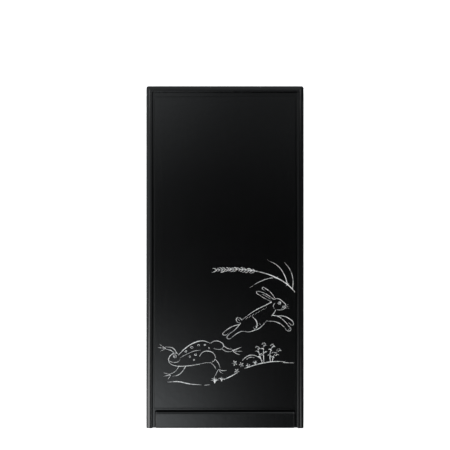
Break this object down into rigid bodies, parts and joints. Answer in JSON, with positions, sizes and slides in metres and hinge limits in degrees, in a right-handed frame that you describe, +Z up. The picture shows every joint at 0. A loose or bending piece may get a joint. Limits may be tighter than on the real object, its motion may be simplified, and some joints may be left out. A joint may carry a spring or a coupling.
{
  "type": "slide-lid calligraphy case with ink stick",
  "caption": "Flat black calligraphy case with a slide-out lid and a finger slot; felt-lined bays hold an ink stick, inkstone, water dropper and capped brush.",
  "frame": {"origin": "centre of the case in plan, on the surface that it stands on", "axes": "+Z up; +Y from the pull batten to the back wall; +X to the right seen from the pull end"},
  "size_m": [0.115, 0.25, 0.032],
  "materials": {
    "black_lacquer": "satin black lacquer over wood",
    "inner_lacquer": "thin dark red lacquer that the grain shows through",
    "lining_felt": "charcoal wool felt",
    "base_felt": "black wool felt",
    "slate": "honed dark slate",
    "soot_ink": "moulded soot and glue, dull with burnished edges",
    "porcelain": "pale celadon glaze",
    "bamboo": "polished bamboo",
    "collar_lacquer": "turned horn, polished dark",
    "brush_hair": "fine animal hair, starched to a point",
    "white_print": "thin film of matt white printing ink on the lid",
    "gilding": "rubbed gold paint on the ink stick's raised marks"
  },
  "bodies": {
    "case": {"left_wall": "black_lacquer", "right_wall": "black_lacquer", "back_wall": "black_lacquer", "front_wall": "black_lacquer", "base_board": "inner_lacquer", "base_felt": "base_felt", "long_divider": "inner_lacquer", "front_cross_divider": "inner_lacquer", "back_cross_divider": "inner_lacquer", "brush_rests": "inner_lacquer", "brush_bay_felt": "lining_felt", "stone_bay_felt": "lining_felt", "stick_bay_felt": "lining_felt", "dropper_bay_felt": "lining_felt", "inkstone": "slate", "ink_stick": "soot_ink", "water_dropper": "porcelain", "brush_handle": "bamboo", "brush_collar": "collar_lacquer", "brush_hair": "brush_hair"},
    "lid": {"lid_panel": "black_lacquer", "pull_batten": "black_lacquer"},
    "brush_cap": {"brush_cap": "bamboo"}
  },
  "joints": [
    {"name": "lid_slide", "type": "slide", "parent": "case", "child": "lid", "axis": [0, -1, 0], "range_m": [0, 0.24]},
    {"name": "cap_pull", "type": "slide", "parent": "case", "child": "brush_cap", "axis": [0, 1, 0], "range_m": [0, 0.042]}
  ]
}
